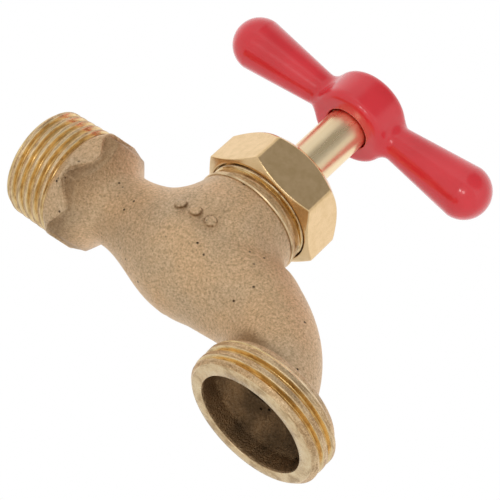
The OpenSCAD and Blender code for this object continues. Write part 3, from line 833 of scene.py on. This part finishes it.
# the handle's screw: a low domed head, the part of a large ball over the seat inside the head's rim, with a
# straight slot, on a plain shank
def screwField(x, y, z):
    s = handleScrew
    stemR = np.hypot(x - stemX, y)
    top = s["seat"] + s["height"]
    ball = np.sqrt(stemR ** 2 + (z - top + s["dome"]) ** 2) - s["dome"]
    head = smoothMax(smoothMax(stemR - s["head"], ball, s["rimEdge"]), s["seat"] - z, s["seatEdge"])
    slot = np.maximum(np.abs(y) - s["slot"], s["slotFloor"] - z)
    shank = np.maximum(np.maximum(stemR - s["shank"], s["tip"] - z), z - s["slotFloor"] + s["overlap"])
    return np.minimum(smoothMax(head, -slot, s["slotEdge"]), shank)


def buildScrew():
    s = handleScrew
    points, faces = skinOf(screwField, s["boxLow"], s["boxHigh"], s["step"])
    addPiece("handleScrew", points, faces, "stem_and_handle", "handle_screw", stemMaterial,
             sharp=45)


buildScrew()

# pieces that keep their CAD shape and get their finish here
carried = {
    "gland_washer": stemMaterial, "packing_seat_washer": stemMaterial, "washer_screw": stemMaterial,
    "packing_ring": graphiteYarn(), "seat_washer": mouldedRubber(),
}
for name, material in carried.items():
    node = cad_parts[name]
    if not node.material_slots:
        node.data.materials.append(material)
    for materialSlot in node.material_slots:
        materialSlot.material = material
print("finished the carried-over washers, packing and screw")

studio = {
    "floorZ": -0.36, "floorHalf": 3.0, "floorCount": 9, "floorGreys": {0.3: "#ececea", 0.7: "#efefee"},
    "camera": (0.166279, -0.234389, -0.137690), "lens": 123.616, "sensor": 36.0,
    "middle": (0.038, 0.0, 0.005),
    "cameraAxes": ((0.7698552, 0.01070642, 0.63812879), (-0.48980551, -0.63109839, 0.6015026),
                   (0.40916199, -0.7756289, -0.48061031)),
    "levels": {0.0: 1.0, 0.15: 0.94, 0.32: 0.78, 0.5: 0.70, 0.64: 0.88, 0.78: 1.0},
    "darkSpot": (0.586, 0.607, 0.538), "spotEdge": 0.78, "spotHeart": 0.93, "spotLevel": 0.42,
    "softboxes": {
        "nearLeft": ((-0.12, 0.02, 0.40), 0.07, 0.10),
        "nearRight": ((-0.02, -0.03, 0.42), 0.07, 0.08),
    },
}
cameraTurn = Matrix(studio["cameraAxes"]).transposed()  # its columns are the camera's right, up and back


def addCamera():
    data = bpy.data.cameras.new("benchView")
    data.lens, data.sensor_width, data.clip_start = studio["lens"], studio["sensor"], 0.01
    camera = bpy.data.objects.new("benchView", data)
    camera.matrix_world = Matrix.Translation(studio["camera"]) @ cameraTurn.to_4x4()
    bpy.context.scene.collection.objects.link(camera)
    bpy.context.scene.camera = camera


# a square softbox at a place given in the camera's own axes from the object's middle, facing that middle
def addSoftbox(name, place, size, power):
    middle = Vector(studio["middle"])
    spot = middle + cameraTurn @ Vector(place)
    data = bpy.data.lights.new(name, "AREA")
    data.energy, data.size = power, size
    light = bpy.data.objects.new(name, data)
    turn = (spot - middle).to_track_quat("Z", "Y").to_matrix()
    light.matrix_world = Matrix.Translation(spot) @ turn.to_4x4()
    bpy.context.scene.collection.objects.link(light)


# a white room: brightest behind the object as the camera sees it, darker on the camera's own side with one
# dark spot up to the right of it, and plain white where the camera looks straight at it
def addRoom():
    world = bpy.data.worlds.new("whiteRoom")
    bpy.context.scene.world = world
    world.use_nodes = True
    tree = world.node_tree
    direction = addNode(tree, "ShaderNodeTexCoord").outputs["Generated"]
    behind = -cameraTurn.col[2]
    facing = addNode(tree, "ShaderNodeVectorMath", {0: direction, 1: behind}, operation="DOT_PRODUCT")
    share = addNode(tree, "ShaderNodeMapRange", {"Value": facing.outputs["Value"], "From Min": -1.0})
    level = addNode(tree, "ShaderNodeValToRGB", {"Fac": share.outputs["Result"]}, studio["levels"])
    spot = cameraTurn @ Vector(studio["darkSpot"])
    nearSpot = addNode(tree, "ShaderNodeVectorMath", {0: direction, 1: spot}, operation="DOT_PRODUCT")
    kept = addNode(tree, "ShaderNodeMapRange",
                   {"Value": nearSpot.outputs["Value"], "From Min": studio["spotEdge"],
                    "From Max": studio["spotHeart"], "To Min": 1.0, "To Max": studio["spotLevel"]},
                   interpolation_type="SMOOTHSTEP")
    lit = addNode(tree, "ShaderNodeMath", {0: level.outputs["Color"], 1: kept.outputs["Result"]},
                  operation="MULTIPLY")
    seen = addNode(tree, "ShaderNodeLightPath").outputs["Is Camera Ray"]
    strength = addNode(tree, "ShaderNodeMapRange", {"Value": seen, "To Min": lit.outputs[0], "To Max": 1.0})
    background = tree.nodes["Background"]
    background.inputs["Color"].default_value = (1, 1, 1, 1)
    tree.links.new(strength.outputs["Result"], background.inputs["Strength"])


# a pale floor well below the object, a grid of faces with a faint mottle
def addFloor():
    count = studio["floorCount"]
    side = np.linspace(-studio["floorHalf"], studio["floorHalf"], count)
    x, y = np.meshgrid(side, side, indexing="ij")
    points = np.stack([x, y, np.full_like(x, studio["floorZ"])], -1).reshape(-1, 3)
    row, column = np.meshgrid(np.arange(count - 1), np.arange(count - 1), indexing="ij")
    corner = (row * count + column).ravel()
    faces = np.stack([corner, corner + count, corner + count + 1, corner + 1], -1)
    mesh = bpy.data.meshes.new("floor")
    mesh.from_pydata(points.tolist(), [], faces.tolist())
    floor = bpy.data.objects.new("floor", mesh)
    bpy.context.scene.collection.objects.link(floor)
    material, tree, surface, where = startMaterial("paintedFloor", Roughness=0.8)
    mottle = addNode(tree, "ShaderNodeTexNoise", {"Vector": where, "Scale": marks(150)})
    colour = addNode(tree, "ShaderNodeValToRGB", {"Fac": mottle.outputs["Fac"]}, studio["floorGreys"])
    tree.links.new(colour.outputs["Color"], surface.inputs["Base Color"])
    mesh.materials.append(material)


addCamera()
addRoom()
addFloor()
for name, (place, size, power) in studio["softboxes"].items():
    addSoftbox(name, place, size, power)
bpy.context.scene.view_settings.view_transform = "Standard"
print("camera, room and lights ready")
